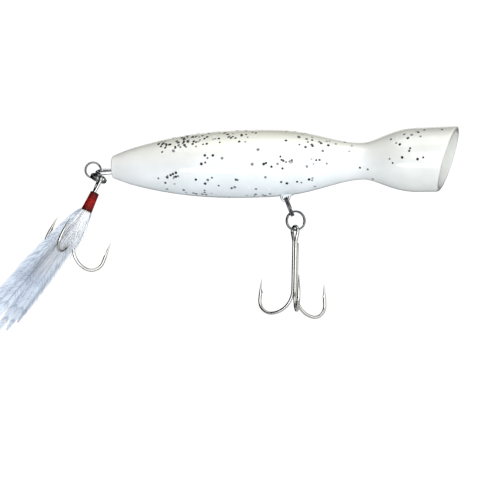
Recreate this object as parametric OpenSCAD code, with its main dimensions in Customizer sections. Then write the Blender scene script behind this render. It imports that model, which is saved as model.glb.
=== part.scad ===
// Topwater popper: a hollow two-shell body on a through wire, with a belly
// treble and a dressed tail treble, each hung on two split rings.
// Frame: origin at the centre of the line tie, +X forward along the through
// wire, +Z up, +Y to the left of the lure. Millimetres.

/* [Body] */
// Length of the body from the tail face to the upper lip
body_length = 150; // [120:1:190]
// Diameter of the tail face
tail_d = 10.2; // [8:0.1:13]
// Largest diameter of the belly
belly_d = 28.9; // [23:0.1:36]
// Distance from the tail face to the fattest place of the belly
belly_x = 60; // [50:1:72]
// Diameter of the waist behind the head
waist_d = 15.6; // [13:0.1:20]
// Distance from the lip back to the waist
waist_back = 41; // [34:1:50]
// Diameter of the head where its flare ends
head_d = 27.2; // [22:0.1:33]
// Distance from the lip back to the end of the head's flare
flare_back = 18; // [14:1:24]
// Diameter of the lip
lip_d = 27.8; // [23:0.1:34]
// Rounding of the tail edge
tail_round = 1; // [0.4:0.1:1.6]
// Thickness of the shell
wall = 2; // [1.4:0.1:2.8]
// Thickness of the bulkheads
bulkhead = 2.4; // [1.8:0.1:3.2]
// Height of the body's axis over the through wire
axis_lift = 2; // [1:0.1:3]

/* [Face] */
// Lean of the face, upper lip forward, in degrees
face_lean = 18; // [10:1:26]
// Width of the rim round the cup
rim = 1.7; // [1.2:0.1:2.6]
// Depth of the cup
cup_depth = 9; // [7:0.5:11]

/* [Through wire] */
// Diameter of the through wire
wire_d = 1.4; // [1.1:0.1:1.8]
// Radius of the line tie, to the middle of the wire
eye_r = 1.7; // [1.5:0.1:2.2]
// Radius of the tail eye, to the middle of the wire
tail_eye_r = 2.3; // [2.1:0.1:2.6]
// Turn of the tail eye about the wire, in degrees
tail_eye_turn = -72; // [-76:1:-66]
// Distance from the tail face to the end wire of the tail eye
tail_eye_reach = 7; // [6.5:0.1:9]
// Distance from the cup to the near side of the line tie
tie_gap = 0.6; // [0.3:0.1:1.5]
// Length of the tag that lies beside the wire behind the tail eye
tail_tag = 4; // [2:0.5:6]
// Length of the tag that lies beside the wire behind the line tie
nose_tag = 2.5; // [1.5:0.1:3]

/* [Hook hanger] */
// Distance from the tail face to the hanger
hanger_x = 74.9; // [70:0.1:82]
// Diameter of the hanger's wire
hanger_wire_d = 1; // [0.8:0.1:1.2]
// Radius of the hanger's loop, to the middle of the wire
hanger_r = 1.7; // [1.6:0.05:2]
// How far the middle of the loop's lowest wire hangs below the belly
hanger_drop = 2.2; // [2:0.1:3]
// Diameter of the boss round the hanger
boss_d = 6.4; // [5.8:0.1:8]
// How far the boss stands proud of the belly
boss_h = 0.2; // [0.1:0.05:0.3]

/* [Split rings] */
// Diameter of the rings' wire
ring_wire_d = 0.82; // [0.7:0.02:0.9]
// Outside diameter of the belly rings
belly_ring_d = 8.8; // [8:0.1:10.5]
// Inside diameter of the tail rings
tail_ring_bore = 5.76; // [5.4:0.02:7.2]

/* [Treble hooks] */
// Diameter of the hook wire
hook_wire_d = 1.35; // [1.1:0.05:1.6]
// Radius of the hook's eye, to the middle of the wire
hook_eye_r = 2.05; // [1.9:0.05:2.6]
// Distance from the middle of the eye to where its legs meet
eye_leg = 4.4; // [4:0.1:6]
// Distance from the middle of the eye to the start of the bend
shank = 25.1; // [22:0.1:31]
// Extra shank on the brazed third hook
third_extra = 1.2; // [0:0.1:2]
// Radius of the bend beside the shank
bend_r = 9.8; // [8:0.1:12]
// Radius of the bend beside the point
point_bend_r = 5.5; // [4.5:0.1:6.5]
// Turn of the point leg in towards the shank, in degrees
point_lean = 4; // [0:1:8]
// Straight part of the point leg below the taper
point_straight = 2.2; // [1.5:0.1:3]
// Length of the tapered point
point_taper = 6.9; // [5.5:0.1:8]
// Length of the barb
barb_length = 2.2; // [1.5:0.1:2.8]
// Film of braze between the shanks
braze_film = 0.06; // [0.04:0.01:0.1]
// Length of the braze
braze_length = 17; // [12:0.5:19]

/* [Tail dressing] */
// Length of the thread collar
collar_length = 8.8; // [7:0.1:10]
// Diameter of the collar next to the eye
collar_top_d = 3.7; // [3.6:0.1:4.4]
// Diameter of the collar over the butts of the feathers
collar_end_d = 4.7; // [4.4:0.1:5.8]
// Length of the feathers past the collar
feather_length = 66; // [54:1:76]
// Width across the feathers
feather_width = 14; // [11:0.5:16]
// Thickness through the feathers, as a share of their width
feather_flatness = 0.55; // [0.45:0.05:0.7]
// Length of the hair past the collar
hair_length = 38; // [31:1:45]
// Width across the hair
hair_width = 6; // [5:0.5:7]
// Sweep of the dressing away from the shank, in degrees
dressing_sweep = 14; // [8:1:18]

/* [Weights and rattles] */
// Distance from the tail face to the tail weight
tail_weight_x = 14.4; // [13.5:0.1:15.5]
// Length of the tail weight
tail_weight_length = 15; // [12:0.5:17]
// Diameter of the tail weight
tail_weight_d = 9.6; // [8:0.1:11]
// Diameter of the rear rattle ball
rear_ball_d = 7; // [6:0.1:7.4]
// Travel of the rear rattle ball
rear_travel = 8; // [6:0.5:9]
// Diameter of the belly weight
belly_weight_d = 8; // [6.5:0.1:8.6]
// Length of the belly weight
belly_weight_length = 13; // [10:0.5:15]
// Diameter of the front rattle ball
front_ball_d = 4.5; // [4:0.1:4.8]
// Travel of the front rattle ball
front_travel = 6; // [5:0.5:7]
// Distance from the lip back to the head rattle's bay
head_bay_back = 31.5; // [28:0.5:34]
// Diameter of the head rattle ball
head_ball_d = 5; // [4:0.1:5.4]
// Travel of the head rattle ball
head_travel = 3.6; // [3:0.1:4.2]
// Wall of the tubes that the balls roll in
tube_wall = 1; // [0.8:0.1:1.4]

/* [Fits] */
// Clearance all round a fitted piece
fit = 0.05; // [0.03:0.01:0.1]
// Clearance all round a rolling ball
roll = 0.25; // [0.15:0.05:0.4]
// Clearance between linked wires
link_gap = 0.1; // [0.08:0.01:0.2]
// Extra clearance where a ring's two coils sit in a curved eye
coil_gap = 0.2; // [0.15:0.01:0.3]
// Diameter of the alignment pins
pin_d = 1.4; // [1.2:0.1:1.6]
// Length of the alignment pins past the joint face
pin_length = 1.6; // [1.2:0.1:2]

/* [Hidden] */

$fn = 64;
big = 400;                       // larger than the lure
tiny = 0.01;
tiny_gap = 0.04;                 // lost where a ring leans on its neighbour
wire_sides = 10;                 // sides of a swept wire
tail_plug = 5;                   // solid body in front of the tail's rounding
point_d = 0.14;                  // diameter at a hook's very point

// Body outline ---------------------------------------------------------
waist_x = body_length - waist_back;
head_x = body_length - flare_back;
tail_power = 2.25;               // fullness of the back half
taper_skew = 1.48;               // how late the belly falls to the waist
flare_skew = 0.78;               // how early the waist opens to the head
outline_steps = 46;

function ease(t) = (1 - cos(180 * t)) / 2;
function body_r(x) =
  x < belly_x ? belly_d / 2 - (belly_d - tail_d) / 2 * pow(1 - max(x, 0) / belly_x, tail_power)
  : x < waist_x ? belly_d / 2
    - (belly_d - waist_d) / 2 * ease(pow((x - belly_x) / (waist_x - belly_x), taper_skew))
  : x < head_x ? waist_d / 2
    + (head_d - waist_d) / 2 * ease(pow((x - waist_x) / (head_x - waist_x), flare_skew))
  : head_d / 2 + (lip_d - head_d) / 2 * (x - head_x) / (body_length - head_x);

// Face and cup: the face plane passes through the upper lip.
face_x = body_length - lip_d / 2 * tan(face_lean);
cup_rim_r = lip_d / 2 - rim;
cup_r = (cup_rim_r * cup_rim_r + cup_depth * cup_depth) / (2 * cup_depth);
cup_out = cup_r - cup_depth;
cup_x = face_x + cup_out * cos(face_lean);
cup_z = axis_lift - cup_out * sin(face_lean);
cup_floor_x = cup_x - sqrt(cup_r * cup_r - cup_z * cup_z);

// The line tie stands in the cup, and everything is placed from it.
tie_x = cup_floor_x + tie_gap + eye_r + wire_d / 2;
neck_x = cup_floor_x - wall;

// Bays inside the shells, each [from, to] measured from the tail face.
hanger_room = 5;                 // open bay in front of the hanger
tail_bay = [tail_round + tail_plug, tail_weight_x - bulkhead];
weight_bay = [tail_weight_x, tail_weight_x + tail_weight_length];
rear_bay = [weight_bay[1] + bulkhead, weight_bay[1] + bulkhead + rear_ball_d + rear_travel];
belly_bay = [rear_bay[1] + bulkhead, rear_bay[1] + bulkhead + belly_weight_length];
hanger_bay = [belly_bay[1] + bulkhead, hanger_x + hanger_room];
front_bay = [hanger_bay[1] + bulkhead, hanger_bay[1] + bulkhead + front_ball_d + front_travel];
head_bay_x = body_length - head_bay_back;
waist_bay = [front_bay[1] + bulkhead, head_bay_x - bulkhead];
head_bay = [head_bay_x, head_bay_x + head_ball_d + head_travel];
nose_bay = [head_bay[1] + bulkhead, body_length];
bays = [tail_bay, weight_bay, rear_bay, belly_bay, hanger_bay, front_bay, waist_bay, head_bay, nose_bay];

// Tubes run below the wire in the belly and above it in the waist and head,
// and the alignment pins stand on the other side of the wire.
below = -1;
above = 1;
pin_places = [
  [weight_bay[0], above], [rear_bay[0], above], [belly_bay[0], above],
  [front_bay[0], below], [head_bay[0], below]
];

function tube_bore(d) = d + 2 * roll;
function tube_z(d, place) = place * (wire_d / 2 + fit + tube_wall + tube_bore(d) / 2);

// Linked wires -----------------------------------------------------------
coil_press = 0.04;                            // how far the two coils are pressed
coil_pitch = ring_wire_d - coil_press;        // from one coil to the other
ring_half = (ring_wire_d + coil_pitch) / 2;   // half the ring's thickness
belly_ring_r = (belly_ring_d - ring_wire_d) / 2;
tail_ring_r = (tail_ring_bore + ring_wire_d) / 2;
half_ring = ring_wire_d / 2;

function unit(v) = v / norm(v);
function turned(v, axis, a) =
  v * cos(a) + cross(axis, v) * sin(a) + axis * (axis * v) * (1 - cos(a));
view_turn = 9;                                // turn of the linked parts about Z
side = [cos(view_turn), sin(view_turn), 0];   // fore and aft in that plane
near = [sin(view_turn), -cos(view_turn), 0];  // out to the lure's right
up = [0, 0, 1];

// Belly links: loop, upper ring, lower ring, hook.
belly_lean = 20;                              // lean of the upper ring
loop_z = axis_lift - body_r(hanger_x) - hanger_drop + hanger_r;
loop_at = [hanger_x - tie_x, 0, loop_z];
upper_dir = side * sin(belly_lean) - up * cos(belly_lean);
upper_axis = side * cos(belly_lean) + up * sin(belly_lean);
belly_pivot_1 = loop_at + hanger_r * [sin(belly_lean), 0, -cos(belly_lean)];
upper_grip = hanger_wire_d / 2 + half_ring + link_gap + coil_gap;
upper_at = belly_pivot_1 + (belly_ring_r - upper_grip) * upper_dir;
belly_pivot_2 = upper_at + belly_ring_r * upper_dir;
lower_turn = 29;                              // turn of the lower ring about Z
lower_lean = 30;                              // lean of the way it hangs
lower_side = [cos(lower_turn), sin(lower_turn), 0];
lower_dir = lower_side * sin(lower_lean) - up * cos(lower_lean);
ring_grip = half_ring + ring_half + link_gap + tiny_gap;
lower_at = belly_pivot_2 + (belly_ring_r - ring_grip) * lower_dir;
belly_pivot_3 = lower_at - belly_ring_r * up;
hook_grip = ring_half + hook_wire_d / 2 + link_gap + tiny_gap;
belly_hook_dir = unit([-0.02, -0.122, -0.99]);
belly_hook_at = belly_pivot_3 + (hook_eye_r - hook_grip) * belly_hook_dir;
belly_hook_turn = 47;                         // turn of the hook about its shank

// Tail links: tail eye, front ring, rear ring, hook. Thicker rings stand
// wider apart.
usual_ring_wire = 0.82;
thicker = max(0, ring_wire_d - usual_ring_wire);
tail_pivot_1 = [-tie_x - tail_eye_reach, 0, 0];
front_turn = 152;                             // where the front ring's middle lies
front_grip = wire_d / 2 + half_ring + link_gap + coil_gap + 0.4 * thicker;
front_at = tail_pivot_1
  + (tail_ring_r - front_grip) * (cos(front_turn) * side + sin(front_turn) * up);
rear_turn = -56.5 - 12 * thicker;             // where the rear ring hangs on it
rear_fan = 60 + 24 * thicker;                 // how far it stands out to the near side
rear_twist = 35 - 24 * thicker;               // its twist about the way it hangs
rear_out = cos(rear_turn) * side + sin(rear_turn) * up;
rear_axis = -sin(rear_turn) * side + cos(rear_turn) * up;
tail_pivot_2 = front_at + tail_ring_r * rear_out;
rear_dir = rear_out * cos(rear_fan) + near * sin(rear_fan);
rear_at = tail_pivot_2 + (tail_ring_r - ring_grip) * rear_dir;
rear_normal = turned(rear_axis, rear_dir, rear_twist);
tail_pivot_3 = rear_at + tail_ring_r * rear_dir;
tail_hook_axis = unit(cross(rear_normal, rear_dir));
tail_hook_dir = unit(-0.435 * side + 0.13 * near - 0.891 * up);
tail_hook_at = tail_pivot_3 + (hook_eye_r - hook_grip) * tail_hook_dir;
tail_hook_turn = 18;                          // turn of the hook about its shank

// Treble: three shanks round one axis.
shank_pitch = hook_wire_d + braze_film;
shank_r = shank_pitch / sqrt(3);
eye_plane = -shank_r / 2;
braze_top = eye_leg + 1;
collar_top = eye_leg + 0.5;
collar_bottom = collar_top + collar_length;

// Puts a part drawn about +Z at a place, with its Z along z and its X near x.
module placed(at, z, x = [1, 0, 0]) {
  k = unit(z);
  i = unit(x - k * (x * k));
  j = cross(k, i);
  multmatrix([
    [i[0], j[0], k[0], at[0]],
    [i[1], j[1], k[1], at[1]],
    [i[2], j[2], k[2], at[2]],
    [0, 0, 0, 1]
  ]) children();
}

// From tail-face coordinates to the line tie's.
module from_tail() {
  translate([-tie_x, 0, 0]) children();
}

module along_x(x0, x1, d, z = 0) {
  translate([x0, 0, z]) rotate([0, 90, 0]) cylinder(h = x1 - x0, d = d);
}

// Body shells --------------------------------------------------------------
module revolved(inset, x0, x1) {
  n = max(2, ceil(outline_steps * (x1 - x0) / body_length));
  edge = inset > 0 ? [[max(body_r(x0) - inset, 0.5), x0]] : [
    for (a = [0 : 22.5 : 67.5])
      [body_r(x0) - tail_round * (1 - sin(a)), x0 + tail_round * (1 - cos(a))]
  ];
  start = inset > 0 ? x0 : x0 + tail_round;
  rest = [
    for (i = [(inset > 0 ? 1 : 0) : n])
      let (x = start + (x1 - start) * i / n) [max(body_r(x) - inset, 0.5), x]
  ];
  translate([0, 0, axis_lift]) rotate([0, 90, 0]) rotate_extrude($fn = 96)
    polygon(concat([[0, x0]], edge, rest, [[0, x1]]));
}

module cup_ball(extra) {
  translate([cup_x, 0, cup_z]) sphere(r = cup_r + extra, $fn = 96);
}

module outer_body() {
  difference() {
    union() {
      revolved(0, 0, body_length);
      translate([hanger_x, 0, axis_lift - body_r(hanger_x) - boss_h])
        cylinder(h = boss_h + wall, d = boss_d);
    }
    translate([face_x, 0, axis_lift]) rotate([0, face_lean, 0])
      translate([0, -big / 2, -big / 2]) cube(big);
    cup_ball(0);
  }
}

module tube_solid(bay, d, place) {
  along_x(bay[0] - tiny, bay[1] + tiny, tube_bore(d) + 2 * tube_wall, tube_z(d, place));
}

module tube_hole(bay, d, place) {
  along_x(bay[0], bay[1], tube_bore(d), tube_z(d, place));
}

module cavity() {
  difference() {
    for (bay = bays)
      if (bay[1] > bay[0]) revolved(wall, bay[0], bay[1]);
    cup_ball(wall);
    tube_solid(rear_bay, rear_ball_d, below);
    tube_solid(belly_bay, belly_weight_d, below);
    tube_solid(front_bay, front_ball_d, above);
    tube_solid(head_bay, head_ball_d, above);
  }
}

module eye_slot(x0, x1, r, turn) {
  deep = wire_d + 2 * fit;
  high = 2 * r + deep;
  rotate([turn, 0, 0]) translate([x0, -deep / 2, -high / 2]) cube([x1 - x0, deep, high]);
}

module hanger_slot() {
  length = 2 * hanger_r + hanger_wire_d + 2 * fit;
  width = hanger_wire_d + 2 * fit;
  top = axis_lift - body_r(hanger_x) + wall + 1;
  translate([hanger_x - length / 2, -width / 2, top - wall - 4])
    cube([length, width, wall + 4]);
}

module shell_core() {
  difference() {
    outer_body();
    cavity();
    tube_hole(rear_bay, rear_ball_d, below);
    along_x(belly_bay[0], belly_bay[1], belly_weight_d + 2 * fit, tube_z(belly_weight_d, below));
    along_x(weight_bay[0], weight_bay[1], tail_weight_d + 2 * fit);
    tube_hole(front_bay, front_ball_d, above);
    tube_hole(head_bay, head_ball_d, above);
    along_x(tail_bay[0] - 1, cup_floor_x + 1, wire_d + 2 * fit);
    eye_slot(-1, tail_bay[0] + 0.5, tail_eye_r, tail_eye_turn);
    eye_slot(neck_x - 0.5, cup_x, eye_r, 0);
    hanger_slot();
  }
}

// Pins sit in the bulkheads, half way out to the skin.
module pins(extra) {
  for (p = pin_places)
    translate([p[0] - bulkhead / 2, pin_length + extra, axis_lift + p[1] * body_r(p[0]) / 2])
      rotate([90, 0, 0]) cylinder(h = 2 * (pin_length + extra), d = pin_d + 2 * extra, $fn = 32);
}

module left_space() {
  translate([-big / 2, 0, -big / 2]) cube(big);
}

module shell_left() {
  color("whitesmoke") from_tail() union() {
    intersection() {
      shell_core();
      left_space();
    }
    pins(0);
  }
}

module shell_right() {
  color("whitesmoke") from_tail() difference() {
    shell_core();
    left_space();
    pins(fit);
  }
}

// Wire parts ---------------------------------------------------------------
// Frames carried along a path without twist, one side vector for each point.
function tangents(p) = [
  for (i = [0 : len(p) - 1])
    unit(p[min(i + 1, len(p) - 1)] - p[max(i - 1, 0)])
];
function carried(t, sides) =
  len(sides) == len(t) ? sides
  : let (
      k = t[len(sides)],
      v = sides[len(sides) - 1]
    )
    carried(t, concat(sides, [unit(v - k * (v * k))]));

// A round wire along a path; end_d is its diameter at the last point.
module wire(path, d, end_d, start_d) {
  t = tangents(path);
  first = abs(t[0][0]) < 0.9 ? [1, 0, 0] : [0, 1, 0];
  sides = carried(t, [unit(cross(t[0], first))]);
  last = len(path) - 1;
  n = wire_sides;
  points = [
    for (i = [0 : last])
      let (
        r = (i == last ? end_d : i == 0 ? start_d : d) / 2,
        across = cross(t[i], sides[i])
      )
      for (k = [0 : n - 1])
        path[i] + r * (sides[i] * cos(360 * k / n) + across * sin(360 * k / n))
  ];
  faces = concat(
    [[for (k = [0 : n - 1]) k]],
    [for (i = [0 : last - 1]) for (k = [0 : n - 1])
      [i * n + k, (i + 1) * n + k, (i + 1) * n + (k + 1) % n, i * n + (k + 1) % n]],
    [[for (k = [n - 1 : -1 : 0]) last * n + k]]
  );
  polyhedron(points = points, faces = faces, convexity = 6);
}

// A closed eye as [along, across] points: out one leg, round and back.
// The legs end `leg` behind the middle of the eye, at the two offsets.
function open_angle(offset, r, leg) = atan2(offset, leg) + acos(r / norm([offset, leg]));
function eye_points(r, leg, left, right) =
  let (
    a0 = open_angle(left, r, leg),
    a1 = 360 - open_angle(right, r, leg),
    steps = 14
  )
  concat(
    [[-leg, left]],
    [for (i = [0 : steps]) let (a = a0 + (a1 - a0) * i / steps) [-r * cos(a), r * sin(a)]],
    [[-leg, -right]]
  );

function reversed(p) = [for (i = [len(p) - 1 : -1 : 0]) p[i]];

// The wire doubles back at both ends, and each tag lies beside it.
module through_wire() {
  tag_gap = wire_d + link_gap / 2;
  nose_leg = tie_x - neck_x + 2;
  tail_leg = tail_eye_reach - tail_eye_r + tail_bay[0] + 1;
  tail_mid = -tie_x - tail_eye_reach + tail_eye_r;
  across = [0, -sin(tail_eye_turn), cos(tail_eye_turn)];
  tail = [
    for (p = eye_points(tail_eye_r, tail_leg, tag_gap, 0))
      [tail_mid - p[0], 0, 0] + across * p[1]
  ];
  nose = [for (p = eye_points(eye_r, nose_leg, 0, tag_gap)) [p[0], 0, -p[1]]];
  path = concat(
    [tail[0] + [tail_tag, 0, 0]], tail, nose,
    [nose[len(nose) - 1] - [nose_tag, 0, 0]]
  );
  color("silver") wire(path, wire_d, wire_d, wire_d);
}

// A figure of eight: the lower loop stands below the belly, and the upper
// one closes round the through wire at a right angle to it.
module belly_hanger() {
  collar_r = wire_d / 2 + fit + hanger_wire_d / 2;
  leg = 4;
  tag_gap = hanger_wire_d + link_gap / 2;
  loop = [
    for (p = eye_points(hanger_r, leg, tag_gap, 0))
      [p[1], 0, loop_z - p[0]]
  ];
  collar = [
    for (a = [0 : 22.5 : 225])
      [0, collar_r * cos(a), collar_r * sin(a)]
  ];
  path = concat([loop[0] + [0, 0, 1.5]], loop, [[0, 0, -3.2 * collar_r]], collar);
  color("silver") translate([hanger_x - tie_x, 0, 0])
    wire(path, hanger_wire_d, hanger_wire_d, hanger_wire_d);
}

module split_ring(r) {
  rotate_extrude($fn = 72) translate([r, 0]) {
    translate([0, coil_pitch / 2]) circle(d = ring_wire_d, $fn = 24);
    translate([0, -coil_pitch / 2]) circle(d = ring_wire_d, $fn = 24);
  }
}

module belly_ring_upper() {
  color("gray") placed(upper_at, upper_axis, upper_dir) split_ring(belly_ring_r);
}

module belly_ring_lower() {
  color("gray") placed(lower_at, cross(lower_side, up), up) split_ring(belly_ring_r);
}

module tail_ring_front() {
  color("gray") placed(front_at, near, up) split_ring(tail_ring_r);
}

module tail_ring_rear() {
  color("gray") placed(rear_at, rear_normal, rear_dir) split_ring(tail_ring_r);
}

// Treble hooks -------------------------------------------------------------
// One limb at an azimuth: down the shank, round the bend, up to the point.
function limb(azimuth, top, length) =
  let (
    bend = [for (a = [0 : 15 : 90]) [bend_r * (1 - cos(a)), -length - bend_r * sin(a)]],
    mid = [bend_r, -length - bend_r + point_bend_r],
    turn_in = 90 + point_lean,
    hook = [
      for (i = [1 : 6])
        let (a = turn_in * i / 6) mid + point_bend_r * [sin(a), -cos(a)]
    ],
    leg = [-sin(point_lean), cos(point_lean)],
    straight = hook[5] + point_straight * leg,
    flat = concat([[0, -top]], bend, hook, [straight, straight + point_taper * leg])
  )
  [for (p = flat)
    [(shank_r + p[0]) * cos(azimuth), (shank_r + p[0]) * sin(azimuth), p[1]]];

module barb(azimuth, length) {
  out = shank_r + bend_r + point_bend_r * cos(point_lean);
  height = -length - bend_r + point_bend_r * (1 + sin(point_lean));
  foot = point_straight + 0.6;
  rotate([0, 0, azimuth]) translate([out, hook_wire_d * 0.2, height])
    rotate([0, -point_lean, 0]) rotate([90, 0, 0]) linear_extrude(hook_wire_d * 0.4)
      polygon([
        [-0.1, foot], [-hook_wire_d * 0.42, foot + 0.3],
        [-hook_wire_d * 0.95, foot], [-0.1, foot + barb_length]
      ]);
}

// One wire makes both hooks and the eye between them.
module treble_double() {
  eye = [
    for (p = eye_points(hook_eye_r, eye_leg, shank_pitch / 2, shank_pitch / 2))
      [eye_plane, p[1], p[0]]
  ];
  right = limb(120, eye_leg + 1, shank);
  left = limb(-120, eye_leg + 1, shank);
  union() {
    wire(concat(reversed(right), eye, left), hook_wire_d, point_d, point_d);
    for (a = [-120, 120])
      barb(a, shank);
  }
}

module treble_third() {
  union() {
    wire(limb(0, eye_leg + 0.6, shank + third_extra), hook_wire_d, point_d, hook_wire_d);
    barb(0, shank + third_extra);
  }
}

// Braze fills the valleys between the three shanks.
module treble_braze(length) {
  fillet = hook_wire_d * 0.5;
  translate([0, 0, -braze_top - length]) linear_extrude(length) difference() {
    union() {
      for (a = [0, 120, 240])
        rotate(a + 60) translate([-shank_r / 2, -shank_pitch / 2])
          square([shank_r + fillet / 2, shank_pitch]);
    }
    for (a = [0, 120, 240])
      rotate(a) translate([shank_r, 0]) circle(d = hook_wire_d, $fn = 32);
  }
}

module at_belly_hook() {
  placed(belly_hook_at, -belly_hook_dir, [cos(belly_hook_turn), sin(belly_hook_turn), 0]) children();
}

module at_tail_hook() {
  placed(tail_hook_at, -tail_hook_dir, side) rotate([0, 0, tail_hook_turn]) children();
}

module belly_hook_double() {
  color("darkgray") at_belly_hook() treble_double();
}

module belly_hook_third() {
  color("darkgray") at_belly_hook() treble_third();
}

module belly_hook_braze() {
  color("darkkhaki") at_belly_hook() treble_braze(braze_length);
}

module tail_hook_double() {
  color("darkgray") at_tail_hook() treble_double();
}

module tail_hook_third() {
  color("darkgray") at_tail_hook() treble_third();
}

module tail_hook_braze() {
  color("darkkhaki") at_tail_hook() treble_braze(braze_length);
}

// Tail dressing ------------------------------------------------------------
module shanks_hole() {
  rotate([0, 0, 180]) translate([0, 0, -collar_bottom - 1]) {
    cylinder(h = collar_length + 3, r = shank_r + hook_wire_d / 2 + fit, $fn = 48);
  }
}

module thread_collar() {
  color("darkred") at_tail_hook() difference() {
    translate([0, 0, -collar_bottom])
      cylinder(h = collar_length, d1 = collar_end_d, d2 = collar_top_d, $fn = 48);
    shanks_hole();
  }
}

// Width of the dressing at a share t of its length: narrow at the collar,
// full behind it, and drawn to a tip at the end.
function bundle_w(t, width, neck) =
  neck + (width - neck)
  * (t < 0.15 ? ease(t / 0.15) * 0.45 : 0.45 + 0.55 * ease(min(1, (t - 0.15) / 0.5)));
function tip_fade(t) = t < 0.7 ? 1 : max(0.1, cos(90 * (t - 0.7) / 0.3));

hair_neck = collar_end_d - 1.4;
feather_neck = collar_end_d - 0.3;
dressing_rings = 14;
dressing_sides = 18;

// A swept tube of ellipses that leaves the collar and bends to the sweep.
module bundle(length, width, neck) {
  points = [
    for (i = [0 : dressing_rings])
      let (
        t = i / dressing_rings,
        w = bundle_w(t, width, neck) * tip_fade(t) / 2,
        flat = 1 + (feather_flatness - 1) * min(1, t / 0.25),
        z = -collar_bottom - length * t,
        x = -length * tan(dressing_sweep) * t
      )
      for (j = [0 : dressing_sides - 1])
        let (a = 360 * j / dressing_sides)
          [x + w * cos(a), w * flat * sin(a), z]
  ];
  n = dressing_sides;
  last = dressing_rings * n;
  faces = concat(
    [[for (j = [0 : n - 1]) j]],
    [for (i = [0 : dressing_rings - 1]) for (j = [0 : n - 1])
      [i * n + j, (i + 1) * n + j, (i + 1) * n + (j + 1) % n, i * n + (j + 1) % n]],
    [[for (j = [n - 1 : -1 : 0]) last + j]]
  );
  polyhedron(points = points, faces = faces, convexity = 4);
}

module at_dressing() {
  placed(tail_hook_at, -tail_hook_dir, side) children();
}

module hair_bundle() {
  color("white") at_dressing() bundle(hair_length, hair_width, hair_neck);
}

module hackle_feathers() {
  color("white") at_dressing() bundle(feather_length, feather_width, feather_neck);
}

// Weights and rattles ------------------------------------------------------
module tail_weight() {
  color("dimgray") from_tail() difference() {
    along_x(weight_bay[0], weight_bay[1], tail_weight_d);
    along_x(weight_bay[0] - 1, weight_bay[1] + 1, wire_d + 2 * fit);
  }
}

module belly_weight() {
  color("dimgray") from_tail()
    along_x(belly_bay[0], belly_bay[1], belly_weight_d, tube_z(belly_weight_d, below));
}

// At rest each ball lies at the tail end of its tube.
module rattle_ball(bay, d, place) {
  from_tail() translate([bay[0] + d / 2 + fit, 0, tube_z(d, place) - roll + fit]) sphere(d = d);
}

module rattle_ball_rear() {
  color("lightgray") rattle_ball(rear_bay, rear_ball_d, below);
}

module rattle_ball_front() {
  color("lightgray") rattle_ball(front_bay, front_ball_d, above);
}

module rattle_ball_head() {
  color("lightgray") rattle_ball(head_bay, head_ball_d, above);
}

shell_left();
shell_right();
through_wire();
belly_hanger();
tail_weight();
belly_weight();
rattle_ball_rear();
rattle_ball_front();
rattle_ball_head();
belly_ring_upper();
belly_ring_lower();
tail_ring_front();
tail_ring_rear();
belly_hook_double();
belly_hook_third();
belly_hook_braze();
tail_hook_double();
tail_hook_third();
tail_hook_braze();
thread_collar();
hair_bundle();
hackle_feathers();
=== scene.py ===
# Topwater popper: the painted body, the wires, rings and treble hooks, and the
# dressed tail, made round the CAD frame. Sizes are in millimetres up to the
# moment a mesh is made.
import math
import random

import bmesh
import bpy
import numpy as np
from mathutils import Matrix, Vector


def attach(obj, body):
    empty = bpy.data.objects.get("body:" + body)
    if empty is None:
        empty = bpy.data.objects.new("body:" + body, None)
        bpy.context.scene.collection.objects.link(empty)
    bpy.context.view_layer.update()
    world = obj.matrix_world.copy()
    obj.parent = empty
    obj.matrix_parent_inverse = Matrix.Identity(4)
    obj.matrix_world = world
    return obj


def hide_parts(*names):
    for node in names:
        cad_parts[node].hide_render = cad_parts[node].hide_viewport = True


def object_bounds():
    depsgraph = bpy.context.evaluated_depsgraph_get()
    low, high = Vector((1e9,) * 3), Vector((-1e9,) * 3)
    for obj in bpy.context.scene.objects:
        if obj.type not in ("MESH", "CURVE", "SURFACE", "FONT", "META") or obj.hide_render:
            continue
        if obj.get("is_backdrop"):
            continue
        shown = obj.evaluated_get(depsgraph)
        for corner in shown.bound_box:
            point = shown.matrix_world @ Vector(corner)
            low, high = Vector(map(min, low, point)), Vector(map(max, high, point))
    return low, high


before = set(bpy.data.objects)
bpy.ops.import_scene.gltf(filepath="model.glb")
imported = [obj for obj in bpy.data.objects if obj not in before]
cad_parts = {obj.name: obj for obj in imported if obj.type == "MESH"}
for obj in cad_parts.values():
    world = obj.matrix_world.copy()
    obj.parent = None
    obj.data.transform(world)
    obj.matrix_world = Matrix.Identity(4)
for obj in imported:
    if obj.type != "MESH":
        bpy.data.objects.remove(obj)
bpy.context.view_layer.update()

MM = 0.001

# ---------------------------------------------------------------- sizes ----
# The body, measured from the tail face
BODY_LENGTH = 150.0
TAIL_D = 10.2
BELLY_D, BELLY_X = 28.9, 60.0
WAIST_D, WAIST_X = 15.6, 109.0
HEAD_D, HEAD_X = 27.2, 132.0
LIP_D = 27.8
TAIL_ROUND, TAIL_BLEND = 1.0, 6.0
AXIS_LIFT = 2.0
TAIL_POWER, TAPER_SKEW, FLARE_SKEW = 2.25, 1.48, 0.78
FACE_LEAN = math.radians(18)
RIM, CUP_DEPTH = 1.7, 9.0
LIP_ROUND, CUP_EDGE = 1.15, 0.5
SKIN_ROWS, SKIN_COLUMNS, CUP_ROWS = 110, 73, 26
# The through wire
WIRE_D = 1.4
TIE_EYE_R, TAIL_EYE_R = 1.7, 2.3
TAIL_EYE_TURN, TAIL_EYE_REACH = math.radians(-72), 7.0
TIE_GAP = 0.6
WALL = 2.0
TAIL_BAY = 6.0
TAIL_TAG, NOSE_TAG = 4.0, 2.5
# The hook hanger
HANGER_X = 74.9
HANGER_WIRE_D, HANGER_R, HANGER_DROP = 1.0, 1.7, 2.2
BOSS_D, BOSS_H = 6.4, 0.2
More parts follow.
